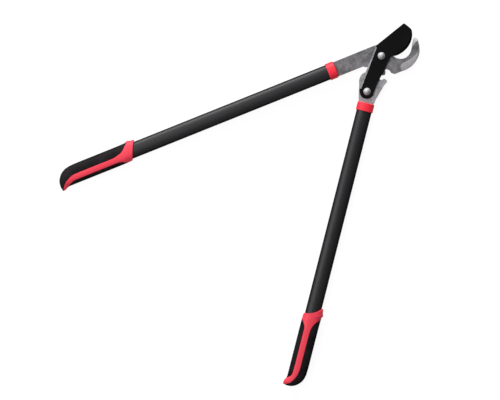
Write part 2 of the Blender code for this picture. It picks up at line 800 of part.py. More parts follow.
def main():
    lever_axis = polar(PIVOT_SPACING, PIVOT_DIRECTION)
    frame = empty("fixed_side", (0, 0, 0))
    blade_pivot = empty("blade_pivot", (0, 0, 0))
    lever_pivot = empty("lever_pivot", (*lever_axis, 0), (0, 0, HANDLE_SPREAD))

    outline = hook_outline()
    hook = sloped_plate("hook_jaw", outline, PLATE_LOW, PLATE_HIGH, plate_steel, frame)
    outline = blade_outline(lever_axis)
    blade = sloped_plate("cutting_blade", outline, BLADE_LOW, BLADE_HIGH, coated, blade_pivot)
    lever = flat_solid("drive_lever", [lever_outline()], PLATE, plate_steel, lever_pivot)
    lever.location = (0, 0, HANDLE_HEIGHT)
    lever = meshed(lever)

    make_pivot("main_pivot", (0, 0, 0), blade_pivot, frame)
    make_pivot("lever_pivot", (*lever_axis, 0), blade_pivot, lever_pivot)
    bush_hole = BUSH_RADIUS + TOUCH_GAP
    bolt_hole = BOLT_RADIUS + RUNNING_CLEARANCE
    pierce(hook, "hook_bore", bush_hole, (0, 0), frame, PLATE_LOW, PLATE_HIGH)
    pierce(lever, "lever_bore", bush_hole, (0, 0), lever_pivot, PLATE_LOW, PLATE_HIGH)
    pierce(blade, "blade_main_bore", bolt_hole, (0, 0), blade_pivot, BLADE_LOW, BLADE_HIGH)
    pierce(blade, "blade_lever_bore", bolt_hole, lever_axis, blade_pivot, BLADE_LOW, BLADE_HIGH)

    fixed_place = (0, HOOK_AXIS_OFFSET, HANDLE_HEIGHT)
    fixed = empty("fixed_handle", fixed_place, (0, math.pi, 0), frame)
    moving_place = (0, -LEVER_AXIS_OFFSET, HANDLE_HEIGHT)
    moving = empty("moving_handle", moving_place, (0, 0, math.pi), lever_pivot)
    bpy.context.view_layer.update()
    tube, collar = make_handle("fixed", fixed, FIXED_COLLAR_START, FIXED_GRIP_END)
    make_rivet("fixed", fixed, FIXED_COLLAR_START, (tube, collar, hook))
    tube, collar = make_handle("moving", moving, MOVING_COLLAR_START, MOVING_GRIP_END)
    make_rivet("moving", moving, MOVING_COLLAR_START, (tube, collar, lever))


main()
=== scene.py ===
# %% [markdown]
# # A geared bypass lopper
#
# The construction is done before this file starts: every piece is there at its real size, and the blade
# and the moving handle already turn about their bolts. This file gives the tool its looks. Each piece
# that shows is made again in the place of its plain solid, with the roundings, ground faces, grooves and
# threads that the solid leaves out, and gets a material of its own. Then come the floor and the lights.

import json
import math
from copy import copy

import bmesh
import bpy
import numpy as np
from mathutils import Matrix, Vector


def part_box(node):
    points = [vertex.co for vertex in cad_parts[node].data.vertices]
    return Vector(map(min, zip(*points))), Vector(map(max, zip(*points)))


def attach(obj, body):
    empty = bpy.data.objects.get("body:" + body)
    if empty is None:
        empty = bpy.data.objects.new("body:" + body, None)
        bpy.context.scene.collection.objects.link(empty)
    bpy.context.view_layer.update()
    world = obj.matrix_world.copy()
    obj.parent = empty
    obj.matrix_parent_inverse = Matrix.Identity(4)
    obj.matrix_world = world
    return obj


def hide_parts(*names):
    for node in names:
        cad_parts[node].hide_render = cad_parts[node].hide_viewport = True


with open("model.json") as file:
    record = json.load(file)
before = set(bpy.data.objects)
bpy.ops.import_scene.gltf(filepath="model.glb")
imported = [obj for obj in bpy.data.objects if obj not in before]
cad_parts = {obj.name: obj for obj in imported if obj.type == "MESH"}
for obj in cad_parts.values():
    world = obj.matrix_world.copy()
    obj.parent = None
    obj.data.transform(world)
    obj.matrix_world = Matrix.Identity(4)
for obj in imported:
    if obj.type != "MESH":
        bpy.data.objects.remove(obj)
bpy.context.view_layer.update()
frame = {"nodes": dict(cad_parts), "record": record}

MM = 0.001
BODY_OF = {n: body for body, nodes in frame["record"]["behaviour"]["bodies"].items() for n in nodes}

# %% [markdown]
# ## The camera
#
# The photograph looks straight down, and the tool lies turned in it by about 22 degrees. Its bolt heads
# stand almost exactly over their bores, and a lens close by would push them outwards. So the camera
# stands six metres up, with a long lens.

# %% Camera straight above
VIEW_WIDTH = 990 * MM
VIEW_CENTRE = Vector((-347.2, -168.0, 13.5)) * MM
VIEW_DISTANCE = 6000 * MM
PICTURE_TURN = math.radians(-21.84)
SENSOR = 36

camera_data = bpy.data.cameras.new("camera")
camera_data.sensor_width = SENSOR
camera_data.lens = SENSOR * VIEW_DISTANCE / VIEW_WIDTH
camera = bpy.data.objects.new("camera", camera_data)
camera.location = VIEW_CENTRE + Vector((0, 0, VIEW_DISTANCE))
camera.rotation_euler = (0, 0, PICTURE_TURN)
bpy.context.scene.collection.objects.link(camera)
bpy.context.scene.camera = camera
print(f"a {camera_data.lens:.0f} mm lens")

# %% [markdown]
# ## Writing node trees as arithmetic
#
# A material is a tree of nodes, and most of them only add, subtract or multiply. Placing them one by one
# hides the idea, so a small class stands for the number that comes out of a socket. Python's operators on
# it add the Math nodes, and one method adds any other node. The thread's tree uses the same method.

# %% Signal and Finish
class Signal:
    """What comes out of a socket. Arithmetic on it adds Math nodes."""

    def __init__(self, work, socket):
        self.work = work
        self.socket = socket

    def math(self, operation, *values):
        return self.work.node("ShaderNodeMath", {"operation": operation}, dict(enumerate(values)))

    def __add__(self, other):
        return self.math("ADD", self, other)

    def __sub__(self, other):
        return self.math("SUBTRACT", self, other)

    def __rsub__(self, other):
        return self.math("SUBTRACT", other, self)

    def __mul__(self, other):
        return self.math("MULTIPLY", self, other)

    __radd__ = __add__
    __rmul__ = __mul__


class NodeWork:
    """Adds nodes to a tree."""

    def __init__(self, tree):
        self.tree = tree

    def node(self, kind, settings=None, sockets=None, output=0):
        made = self.tree.nodes.new(kind)
        for key, value in (settings or {}).items():
            setattr(made, key, value)
        for key, value in (sockets or {}).items():
            self.feed(made.inputs[key], value)
        return Signal(self, made.outputs[output])

    def feed(self, socket, value):
        if isinstance(value, Signal):
            self.tree.links.new(value.socket, socket)
        else:
            socket.default_value = value

    def ramp(self, signal, low, high):
        """0 below low, 1 above high, and even in between."""
        return self.node("ShaderNodeMapRange", sockets={0: signal, 1: low, 2: high})


# A Mix node has sockets for every kind of value. These are the places of those for colours.
MIX_SHARE, MIX_FIRST, MIX_SECOND, MIX_RESULT = 0, 6, 7, 2


class Finish(NodeWork):
    """A material in the making. Its shader's plain settings are given with its name."""

    def __init__(self, name, **settings):
        self.material = bpy.data.materials.new(name)
        self.material.use_nodes = True
        super().__init__(self.material.node_tree)
        self.shader = self.tree.nodes["Principled BSDF"]
        self.place = self.node("ShaderNodeTexCoord", output="Object")
        self.shade(**settings)

    def shade(self, **values):
        """Sets the shader's sockets, or feeds them what changes over the surface."""
        for socket, value in values.items():
            self.feed(self.shader.inputs[socket.replace("_", " ")], value)
        return self.material

    def surface(self, colour, rough, height, depth):
        """A colour, a roughness, and a bump from heights of 0 to 1 that stand for 0 to depth."""
        bump = self.node("ShaderNodeBump", sockets={"Height": height, "Distance": depth})
        return self.shade(Base_Color=colour, Roughness=rough, Normal=bump)

    def noise(self, size, detail=2, stretch=(1, 1, 1), turn=0.0, roughness=0.5):
        """Cloudy noise from 0 to 1, with clouds about this size, longer where stretch is under 1."""
        turned_place = {"Vector": self.place, "Rotation": (0, 0, turn)}
        place = self.node("ShaderNodeMapping", {"vector_type": "TEXTURE"}, turned_place)
        scaled = self.node("ShaderNodeVectorMath", {"operation": "MULTIPLY"}, {0: place, 1: stretch})
        sockets = {"Vector": scaled, "Scale": 1 / size, "Detail": detail, "Roughness": roughness}
        return self.node("ShaderNodeTexNoise", sockets=sockets)

    def mix(self, share, first, second):
        """From the first colour to the second."""
        sockets = {MIX_SHARE: share, MIX_FIRST: (*first, 1), MIX_SECOND: (*second, 1)}
        return self.node("ShaderNodeMix", {"data_type": "RGBA"}, sockets, MIX_RESULT)


print("Signal and Finish are ready")

# %% [markdown]
# ## Steel plate
#
# The hook and the drive lever are blanked from flat steel and tumbled, which leaves a grey satin face
# with cloudy patches and a fine blasted grain. The patches are from a few millimetres to two centimetres
# wide, so they come from two sizes of noise, and the grain is a bump too fine to see one by one. The
# lever's steel is the same, painted paler: painted light that makes up for the shade the blade casts on
# it.

# %% Tumbled plate steel
def make_plate_steel(name, dark, pale):
    steel = Finish(name, Metallic=1.0)
    patch = steel.noise(18 * MM, 3)
    blotch = steel.noise(5 * MM, 4, roughness=0.62)
    grain = steel.noise(0.45 * MM)
    cloud = steel.ramp(patch * 0.55 + blotch * 0.45, 0.38, 0.62)
    rough = 0.40 + grain * 0.14 + cloud * 0.06
    return steel.surface(steel.mix(cloud, dark, pale), rough, grain + blotch * 0.5, 0.03 * MM)


hook_steel = make_plate_steel("tumbled_hook_steel", (0.182, 0.176, 0.186), (0.350, 0.339, 0.357))
# The lever's colours are painted paler than the hook's: painted light that makes up for the blade's
# shadow on the lever.
lever_steel_painted_lit = make_plate_steel("tumbled_lever_steel_painted_lit", (0.43, 0.416, 0.436), (0.71, 0.688, 0.719))
print(hook_steel.name, lever_steel_painted_lit.name)

# %% [markdown]
# ## Ground steel
#
# Where a wheel has cut the hook's bevels and the blade's edge, the steel is brighter and carries fine
# parallel lines. Noise stretched fifty times in one direction gives such lines.

# %% Steel with grinding lines
GRINDING_TURN = math.radians(62)

steel = Finish("ground_steel", Metallic=0.55)
line = steel.noise(0.25 * MM, 3, stretch=(0.02, 1, 0.02), turn=GRINDING_TURN)
wide_line = steel.noise(1.6 * MM, stretch=(0.05, 1, 0.05), turn=GRINDING_TURN)
streak = steel.ramp(line * 0.6 + wide_line * 0.4, 0.3, 0.7)
colour = steel.mix(streak, (0.345, 0.334, 0.349), (0.605, 0.585, 0.612))
ground_steel = steel.surface(colour, 0.48 + streak * 0.12, line, 0.008 * MM)
print(ground_steel.name)

# %% [markdown]
# ## The blade's coating
#
# A black non-stick coat covers the blade, bevel and all. It is smooth but sprayed, so light on it breaks
# up in a fine orange peel, and use has left a few hairline scratches that show only as a change of gloss.

# %% Black non-stick coating
SCRATCH_TURN = math.radians(28)

coat = Finish("black_coating", Specular_IOR_Level=0.11)
cloud = coat.noise(30 * MM)
peel = coat.noise(0.7 * MM)
hairline = coat.noise(0.5 * MM, stretch=(0.012, 1, 0.012), turn=SCRATCH_TURN)
colour = coat.mix(cloud, (0.0028, 0.0025, 0.0027), (0.0055, 0.0050, 0.0052))
rough = 0.34 + cloud * 0.1 + peel * 0.08 - coat.ramp(hairline, 0.68, 0.74) * 0.12
blade_coating = coat.surface(colour, rough, peel, 0.012 * MM)
print(blade_coating.name)

# %% [markdown]
# ## Bright plated steel
#
# Bolts, washers and nuts are zinc plated. What makes them look real is unevenness: the plating is a
# little cloudy, and handling leaves fine rubbed lines.

# %% Bright zinc plating
plating = Finish("bright_plated_steel", Metallic=1.0)
cloud = plating.noise(4 * MM, 3)
rub = plating.noise(0.3 * MM, stretch=(0.06, 1, 0.3))
colour = plating.mix(cloud, (0.47, 0.463, 0.475), (0.63, 0.62, 0.63))
bright_steel = plating.surface(colour, 0.56 + cloud * 0.10 + rub * 0.06, rub, 0.004 * MM)
print(bright_steel.name)

# %% [markdown]
# ## Powder coat on the tubes
#
# The tubes are charcoal. Powder melts into a skin that is never quite flat: soft waves a few millimetres
# wide with a finer grain on top. Its gloss makes the tube's round top show as a grey band, so the
# roughness matters more than the colour.

# %% Charcoal powder coat
paint = Finish("charcoal_powder_coat")
wave = paint.noise(2.2 * MM)
grain = paint.noise(0.5 * MM)
patch = paint.noise(60 * MM)
colour = paint.mix(patch, (0.0072, 0.0059, 0.0076), (0.0102, 0.0084, 0.0108))
rough = 0.37 + grain * 0.12 + patch * 0.05
tube_paint = paint.surface(colour, rough, wave * 0.6 + grain * 0.4, 0.03 * MM)
print(tube_paint.name)

# %% [markdown]
# ## Red plastic
#
# The collars are moulded in a clear red, and the grips' cores in a softer, slightly paler one. Mould
# steel is blasted, which leaves a very fine texture, and the colour is a little uneven where the melt
# flowed.

# %% Moulded red plastic
def make_red_plastic(name, dark, pale, smoothness):
    red = Finish(name)
    flow_mark = red.noise(14 * MM, 3, stretch=(1, 1, 0.5))
    texture = red.noise(0.35 * MM)
    rough = smoothness + texture * 0.12 + flow_mark * 0.05
    return red.surface(red.mix(flow_mark, dark, pale), rough, texture, 0.012 * MM)


collar_red = make_red_plastic("moulded_red_plastic", (0.90, 0.015, 0.036), (0.97, 0.023, 0.052), 0.42)
grip_red = make_red_plastic("soft_red_plastic", (0.89, 0.036, 0.068), (0.94, 0.047, 0.090), 0.46)
print(collar_red.name, "and", grip_red.name)

# %% [markdown]
# ## Soft pads
#
# The pads are a soft black rubber with a leather-like grain. Voronoi cells give the grain its small
# closed shapes, and a cloudy mask makes it shinier where hands have rubbed it.

# %% Grained black rubber
rubber = Finish("grained_black_rubber", Specular_IOR_Level=0.11)
cell_sockets = {"Vector": rubber.place, "Scale": 1 / (0.9 * MM), "Smoothness": 0.4}
cell = rubber.node("ShaderNodeTexVoronoi", {"feature": "SMOOTH_F1"}, cell_sockets)
fine = rubber.noise(0.3 * MM)
rubbed = rubber.ramp(rubber.noise(28 * MM, 3), 0.42, 0.62)
colour = rubber.mix(rubbed, (0.0150, 0.0118, 0.0140), (0.0055, 0.0043, 0.0052))
rough = 0.66 - rubbed * 0.14 + fine * 0.08
pad_rubber = rubber.surface(colour, rough, cell * 0.8 + fine * 0.2, 0.05 * MM)
print(pad_rubber.name)

# %% [markdown]
# ## Bush and insert
#
# A bronze bush in each plate carries the bolt, and a nylon ring in each nut stops it from working loose.
# They hardly show, except from below.

# %% Bronze and nylon
bronze = Finish("sintered_bronze", Metallic=1.0)
pore = bronze.noise(0.4 * MM, 3)
colour = bronze.mix(pore, (0.42, 0.27, 0.13), (0.60, 0.41, 0.20))
bush_bronze = bronze.shade(Base_Color=colour, Roughness=0.3 + pore * 0.25)

nylon = Finish("blue_nylon")
cloud = nylon.noise(1.5 * MM)
colour = nylon.mix(cloud, (0.030, 0.075, 0.26), (0.045, 0.105, 0.34))
insert_nylon = nylon.shade(Base_Color=colour, Roughness=0.42 + cloud * 0.12)
print(bush_bronze.name, insert_nylon.name)

# %% [markdown]
# ## From a mesh to a piece
#
# Every piece ends the same way: its modifiers are worked in, its faces are shaded, and it takes over the
# body of its solid, and the solid is hidden. The object stays at the origin, so its place is in its mesh.

# %% Helpers for pieces
SHARP = math.radians(38)
SAME_POINT = 0.001 * MM
WELD = 0.005 * MM
FLAT = math.radians(0.4)


def put_in_scene(name, mesh, *materials):
    piece = bpy.data.objects.new(name, mesh)
    bpy.context.scene.collection.objects.link(piece)
    for material in materials:
        mesh.materials.append(material)
    return piece


def work_in(piece):
    """Works the piece's modifiers into its mesh, and returns that mesh."""
    graph = bpy.context.evaluated_depsgraph_get()
    mesh = bpy.data.meshes.new_from_object(piece.evaluated_get(graph))
    mesh.name = piece.name
    piece.modifiers.clear()
    piece.data = mesh
    return mesh


def stand_for(piece, node, weighted=True):
    """The piece is shaded smooth with its corners kept, and takes the node's place and body."""
    piece.data.shade_smooth()
    if weighted:
        piece.modifiers.new("normals", "WEIGHTED_NORMAL").keep_sharp = True
    work_in(piece)
    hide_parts(node)
    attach(piece, BODY_OF[node])
    low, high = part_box(node)
    size = [round(side / MM, 1) for side in high - low]
    print(piece.name, size, "mm,", len(piece.data.polygons), "faces")


def dress(node, mesh, material):
    """Puts a rounded form in the place of the node's solid."""
    stand_for(put_in_scene(f"{node}_detailed", mesh, material), node, weighted=False)


def weld(bm):
    """Joins points that nearly meet, and takes out faces that have no area."""
    bmesh.ops.remove_doubles(bm, verts=bm.verts, dist=WELD)
    bmesh.ops.dissolve_degenerate(bm, edges=bm.edges[:], dist=WELD)


def flatten(bm):
    """Joins the triangles of each flat face."""
    bmesh.ops.dissolve_limit(bm, angle_limit=FLAT, verts=bm.verts[:], edges=bm.edges[:])


def written(bm, mesh, sharp=SHARP):
    """The mesh, made from the bmesh, with edges over this angle sharp."""
    bm.to_mesh(mesh)
    bm.free()
    mesh.set_sharp_from_angle(angle=sharp)
    return mesh


def mesh_from(bm):
    """A closed mesh: where its ends shrink to a point, their doubled points and stray faces go."""
    bmesh.ops.remove_doubles(bm, verts=bm.verts, dist=SAME_POINT)
    stray = [face for face in bm.faces if any(edge.is_boundary for edge in face.edges)]
    bmesh.ops.delete(bm, geom=stray, context="FACES")
    bmesh.ops.recalc_face_normals(bm, faces=bm.faces)
    return written(bm, bpy.data.meshes.new("form"))


def skin(rings, closed=True, caps=()):
    """A surface through rings of equally many points. caps lists the rings that are filled."""
    bm = bmesh.new()
    loops = [[bm.verts.new(point) for point in ring] for ring in rings]
    for low, high in zip(loops, loops[1:]):
        for i in range(0 if closed else 1, len(low)):
            bm.faces.new((low[i - 1], low[i], high[i], high[i - 1]))
    for end in caps:
        bm.faces.new(loops[end])
    return mesh_from(bm)


print("helpers are ready")

# %% [markdown]
# ## The three plates
#
# Hook, blade and lever keep the outline of their solids, because their teeth have to mesh. What they lack
# is edges that catch light: real plate is tumbled after it is cut, which rounds each edge by a third of a
# millimetre. A copy of the solid has its loose triangles welded, its flat faces joined and its sharp
# edges bevelled. Where two edges meet at a sharp angle a bevel overshoots, so its points are held inside
# the solid's box. The blade's cutting edge stays sharp.

# %% Welding and bevelling a plate
EDGE_ROUNDING = 0.35 * MM
SOLID_WELD = 0.002 * MM
CORNER = math.radians(25)
PLATE_SHARP = math.radians(32)
THIN_WALL = 0.8 * MM
UPRIGHT_RISE = 0.05
SLOPE_LOW = 0.2
SLOPE_HIGH = 0.995


def upright_height(face):
    """How far an upright face reaches from bottom to top; 0 for a flat or sloped one."""
    if abs(face.normal.z) > UPRIGHT_RISE:
        return 0
    heights = [vert.co.z for vert in face.verts]
    return max(heights) - min(heights)


def is_sloped(face):
    return SLOPE_LOW < face.normal.z < SLOPE_HIGH


def is_corner(edge):
    if len(edge.link_faces) != 2 or edge.calc_face_angle() < CORNER:
        return False
    return not any(0 < upright_height(face) < THIN_WALL for face in edge.link_faces)


def keep_inside(bm, low, high):
    for vert in bm.verts:
        vert.co = [min(max(value, least), most) for value, least, most in zip(vert.co, low, high)]


def make_plate(node, materials, slot_of_face):
    """The node's plate with rounded edges; slot_of_face picks each face's material."""
    bm = bmesh.new()
    bm.from_mesh(frame["nodes"][node].data)
    bmesh.ops.remove_doubles(bm, verts=bm.verts, dist=SOLID_WELD)
    flatten(bm)
    for face in bm.faces:
        face.material_index = slot_of_face(face)
    bmesh.ops.bevel(
        bm,
        geom=[edge for edge in bm.edges if is_corner(edge)],
        offset=EDGE_ROUNDING,
        offset_type="OFFSET",
        segments=3,
        profile=0.5,
        affect="EDGES",
        clamp_overlap=False,
        material=-1,
    )
    keep_inside(bm, *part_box(node))
    weld(bm)
    mesh = written(bm, bpy.data.meshes.new(node), PLATE_SHARP)
    stand_for(put_in_scene(f"{node}_detailed", mesh, *materials), node)


# %% Hook, blade and lever
def hook_slot(face):
    return 1 if is_sloped(face) else 0


def blade_slot(face):
    """Ground steel on the thin wall of the cutting edge, and plain on the tang's sloped edge."""
    if 0 < upright_height(face) < THIN_WALL:
        return 1
    return 2 if is_sloped(face) and face.calc_center_median().x < 0 else 0


make_plate("hook_jaw", (hook_steel, ground_steel), hook_slot)
make_plate("cutting_blade", (blade_coating, ground_steel, hook_steel), blade_slot)
make_plate("drive_lever", (lever_steel_painted_lit,), lambda face: 0)

# %% [markdown]
# ## Turned pieces
#
# Bolt heads, washers, bushes and inserts come off a lathe or a press, so each is a profile turned about
# its axis. The profile is a list of corners, each with the radius that it is rounded by.

# %% Profiles and turning
TURNED_SIDES = 72


def rounded(corners, steps):
    """(x, y) points of a path whose corners (x, y, radius) are rounded; its ends aren't."""
    path = []
    for i, (x, y, radius) in enumerate(corners):
        corner = Vector((x, y))
        if radius == 0:
            path.append(corner)
            continue
        before = (Vector(corners[i - 1][:2]) - corner).normalized()
        after = (Vector(corners[(i + 1) % len(corners)][:2]) - corner).normalized()
        half = before.angle(after) / 2
        middle = corner + (before + after).normalized() * radius / math.sin(half)
        start = corner + before * radius / math.tan(half) - middle
        end = corner + after * radius / math.tan(half) - middle
        turn = math.atan2(start.cross(end), start.dot(end))
        path += [middle + Matrix.Rotation(turn * j / steps, 2) @ start for j in range(steps + 1)]
    return path


def turned(corners, axis, closed=False, steps=4):
    """The rounded profile of (radius, height) turned about an upright axis through the point."""
    profile = rounded(corners, steps)
    rings = []
    for i in range(TURNED_SIDES):
        angle = math.tau * i / TURNED_SIDES
        spoke = Vector((math.cos(angle), math.sin(angle), 0))
        rings.append([axis + spoke * point.x + Vector((0, 0, point.y)) for point in profile])
    return skin([*rings, rings[0]], closed)


def middle_of(node):
    low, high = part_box(node)
    return Vector(((low.x + high.x) / 2, (low.y + high.y) / 2, 0))


between = middle_of("main_pivot_bolt") - middle_of("lever_pivot_bolt")
print("the pivots stand", round(between.length / MM, 1), "mm apart")

# %% [markdown]
# ## Screw thread
#
# A thread repeats one ridge along a helix, which is what Geometry Nodes are good at: a spiral curve is
# swept with a small diamond, half of which sinks into the bolt. The tree's inputs are the sizes of the
# thread, so one tree serves every bolt.

# %% A tree that makes threads
THREAD_PITCH = 1.25 * MM
THREAD_DEPTH = 0.55 * MM
HELIX_STEPS = 40


def make_thread_tree():
    """The tree, and what its inputs are called in a modifier."""
    tree = bpy.data.node_groups.new("thread", "GeometryNodeTree")
    inputs = {}
    for name in ("Radius", "Depth", "Length", "Pitch", "Material"):
        kind = "NodeSocketMaterial" if name == "Material" else "NodeSocketFloat"
        made = tree.interface.new_socket(name, in_out="INPUT", socket_type=kind)
        inputs[name] = made.identifier
    tree.interface.new_socket("Geometry", in_out="OUTPUT", socket_type="NodeSocketGeometry")
    work = NodeWork(tree)
    given = {socket.name: Signal(work, socket) for socket in tree.nodes.new("NodeGroupInput").outputs}
    radius, length = given["Radius"], given["Length"]
    turns = work.node("ShaderNodeMath", {"operation": "DIVIDE"}, {0: length, 1: given["Pitch"]})
    spiral = {"Resolution": HELIX_STEPS, "Rotations": turns, "Height": length}
    spiral |= {"Start Radius": radius, "End Radius": radius}
    helix = work.node("GeometryNodeCurveSpiral", sockets=spiral)
    upright = work.node("GeometryNodeSetCurveNormal", {"mode": "Z_UP"}, {"Curve": helix})
    diamond = {"Resolution": 4, "Radius": given["Depth"]}
    ridge = work.node("GeometryNodeCurvePrimitiveCircle", sockets=diamond)
    swept = {"Curve": upright, "Profile Curve": ridge, "Fill Caps": True}
    sweep = work.node("GeometryNodeCurveToMesh", sockets=swept)
    real = work.node("GeometryNodeRealizeInstances", sockets={"Geometry": sweep})
    painted = {"Geometry": real, "Material": given["Material"]}
    result = work.node("GeometryNodeSetMaterial", sockets=painted)
    work.feed(tree.nodes.new("NodeGroupOutput").inputs["Geometry"], result)
    return tree, inputs


THREAD, THREAD_SOCKETS = make_thread_tree()


def thread_mesh(radius, length, place):
    """One bolt's thread as a plain mesh, from the place upwards."""
    carrier = put_in_scene("thread_carrier", bpy.data.meshes.new("thread_carrier"))
    modifier = carrier.modifiers.new("thread", "NODES")
    modifier.node_group = THREAD
    values = {"Radius": radius, "Depth": THREAD_DEPTH, "Length": length, "Pitch": THREAD_PITCH}
    for name, value in {**values, "Material": bright_steel}.items():
        modifier[THREAD_SOCKETS[name]] = value
    mesh = work_in(carrier)
    bpy.data.objects.remove(carrier)
    mesh.transform(Matrix.Translation(place))
    return mesh


print("thread tree with", len(THREAD.nodes), "nodes")

# %% [markdown]
# ## Bolts
#
# Each pivot is a bolt with a thin round flange, a short wall above it, and a piece of a sphere on top.
# Its underside stands a hair above the blade. The shank is plain where blade and plate turn on it, and
# threaded below, with a chamfer at its end.

# %% Two domed bolts
PIVOTS = ("main_pivot", "lever_pivot")
FLANGE = 1.1 * MM
FLANGE_TRIM = 0.6 * MM
FLANGE_FALL = 0.15 * MM
FLANGE_ROUNDING = 0.3 * MM
FLANGE_LOW_ROUNDING = 0.25 * MM
CROWN_WALL = 0.5 * MM
CROWN_SETBACK = 0.8 * MM
CROWN_ROUNDING = 0.35 * MM
CROWN_FOOT_ROUNDING = 0.12 * MM
THREAD_TOP = 9.4 * MM
BOLT_CHAMFER = 0.8 * MM
SHANK_RADIUS = 4 * MM
SHANK_ROUNDING = 0.15 * MM
HEAD_GAP = 0.3 * MM


def dome(radius, height, top, steps=14):
    """Points down the outside of a spherical cap, from its middle to just short of its rim."""
    sphere = (radius**2 + height**2) / (2 * height)
    reach = math.asin(radius / sphere)
    angles = [reach * i / (steps + 1) for i in range(steps + 1)]
    return [(sphere * math.sin(a), top - sphere * (1 - math.cos(a)), 0) for a in angles]


def make_bolt(node):
    low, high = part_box(node)
    head_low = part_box("cutting_blade")[1].z + HEAD_GAP
    head_radius = (high.x - low.x) / 2 - FLANGE_TRIM
    root = SHANK_RADIUS - THREAD_DEPTH
    crown_radius = head_radius - CROWN_SETBACK
    crown_low = head_low + FLANGE
    corners = dome(crown_radius, high.z - crown_low - CROWN_WALL, high.z)
    corners += [
        (crown_radius, crown_low + CROWN_WALL, CROWN_ROUNDING),
        (crown_radius, crown_low, CROWN_FOOT_ROUNDING),
        (head_radius, crown_low - FLANGE_FALL, FLANGE_ROUNDING),
        (head_radius, head_low, FLANGE_LOW_ROUNDING),
        (SHANK_RADIUS, head_low, SHANK_ROUNDING), (SHANK_RADIUS, THREAD_TOP + THREAD_DEPTH, 0),
        (root, THREAD_TOP, 0), (root, BOLT_CHAMFER, 0),
        (root - BOLT_CHAMFER, low.z, SHANK_ROUNDING), (0, low.z, 0),
    ]
    mesh = turned(corners, middle_of(node))
    foot = middle_of(node) + Vector((0, 0, low.z + BOLT_CHAMFER))
    bm = bmesh.new()
    bm.from_mesh(mesh)
    bm.from_mesh(thread_mesh(root, THREAD_TOP - BOLT_CHAMFER, foot))
    dress(node, written(bm, mesh), bright_steel)


for pivot in PIVOTS:
    make_bolt(f"{pivot}_bolt")

# %% [markdown]
# ## Washers, bushes, inserts and nuts
#
# These are rings with rounded edges, except for the nut. A lock nut starts as a six-sided bar. Its
# corners are turned off at 30 degrees at both ends, which leaves the curved edges that tell a nut from a
# prism, and it carries a round collar that grips the nylon insert.

# %% Rings
RING_ROUNDING = 0.2 * MM
INSERT_ROUNDING = 0.4 * MM
BORE_RADIUS = 4.15 * MM


def make_ring(node, material, rounding=RING_ROUNDING):
    low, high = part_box(node)
    outer = (high.x - low.x) / 2
    corners = (
        (outer, high.z, rounding), (outer, low.z, rounding),
        (BORE_RADIUS, low.z, rounding), (BORE_RADIUS, high.z, rounding),
    )
    dress(node, turned(corners, middle_of(node), closed=True, steps=3), material)


for pivot in PIVOTS:
    make_ring(f"{pivot}_washer", bright_steel)
    make_ring(f"{pivot}_bush", bush_bronze)
    make_ring(f"{pivot}_nut_insert", insert_nylon, INSERT_ROUNDING)


# %% Lock nuts
HEX_SIDES = 6
NUT_HEX_HEIGHT = 5.6 * MM
NUT_ACROSS_FLATS = 13 * MM
NUT_CHAMFER = math.radians(30)
NUT_OVERREACH = 1.02
NUT_SHARP = math.radians(25)
NUT_COLLAR_RADIUS = 6 * MM
NUT_COLLAR_ROUNDING = 0.5 * MM
INSERT_SEAT_RADIUS = 5.4 * MM
INSERT_SEAT_DEPTH = 1.8 * MM


def combine(piece, form, operation):
    """Applies one Boolean of the piece with a mesh."""
    cutter = put_in_scene("cutter", form)
    modifier = piece.modifiers.new(operation, "BOOLEAN")
    modifier.operation = operation
    modifier.object = cutter
    work_in(piece)
    bpy.data.objects.remove(cutter)


def make_nut(node):
    low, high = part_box(node)
    axis = middle_of(node)
    flat = NUT_ACROSS_FLATS / 2
    corner = flat / math.cos(math.pi / HEX_SIDES)
    hex_low = high.z - NUT_HEX_HEIGHT
    bm = bmesh.new()
    bmesh.ops.create_cone(
        bm, cap_ends=True, segments=HEX_SIDES, radius1=corner, radius2=corner, depth=NUT_HEX_HEIGHT
    )
    bmesh.ops.translate(bm, vec=axis + Vector((0, 0, high.z - NUT_HEX_HEIGHT / 2)), verts=bm.verts)
    nut = put_in_scene(f"{node}_detailed", mesh_from(bm), bright_steel)
    beyond = corner * NUT_OVERREACH
    drop = (beyond - flat) * math.tan(NUT_CHAMFER)
    chamfer = (
        (0, high.z, 0), (flat, high.z, 0), (beyond, high.z - drop, 0),
        (beyond, hex_low + drop, 0), (flat, hex_low, 0), (0, hex_low, 0),
    )
    combine(nut, turned(chamfer, axis), "INTERSECT")
    collar = (
        (0, hex_low + MM, 0), (NUT_COLLAR_RADIUS, hex_low + MM, 0),
        (NUT_COLLAR_RADIUS, low.z, NUT_COLLAR_ROUNDING), (0, low.z, 0),
    )
    combine(nut, turned(collar, axis), "UNION")
    seat = low.z + INSERT_SEAT_DEPTH
    bore = (
        (0, high.z + MM, 0), (BORE_RADIUS, high.z + MM, 0), (BORE_RADIUS, seat, 0),
        (INSERT_SEAT_RADIUS, seat, 0), (INSERT_SEAT_RADIUS, low.z - MM, 0), (0, low.z - MM, 0),
    )
    combine(nut, turned(bore, axis), "DIFFERENCE")
    bm = bmesh.new()
    bm.from_mesh(nut.data)
    weld(bm)
    flatten(bm)
    written(bm, nut.data, NUT_SHARP)
    stand_for(nut, node)


for pivot in PIVOTS:
    make_nut(f"{pivot}_nut")

# %% [markdown]
# ## The handles' own directions
#
# Both handles are the same parts in different places, so their shapes are written once, in a handle's own
# directions: along it towards the free end of the grip, out to the side away from the other handle, and
# up. The direction along is the longest one through the points of the tube.

# %% Directions of a handle
GRIP_TIP_SETBACK = 0.4 * MM
POINT_DIGITS = 7


def node_points(*nodes):
    """Every point of these solids, in metres and each only once."""
    found = [vert.co[:] for node in nodes for vert in frame["nodes"][node].data.vertices]
    return np.unique(np.round(found, POINT_DIGITS), axis=0)


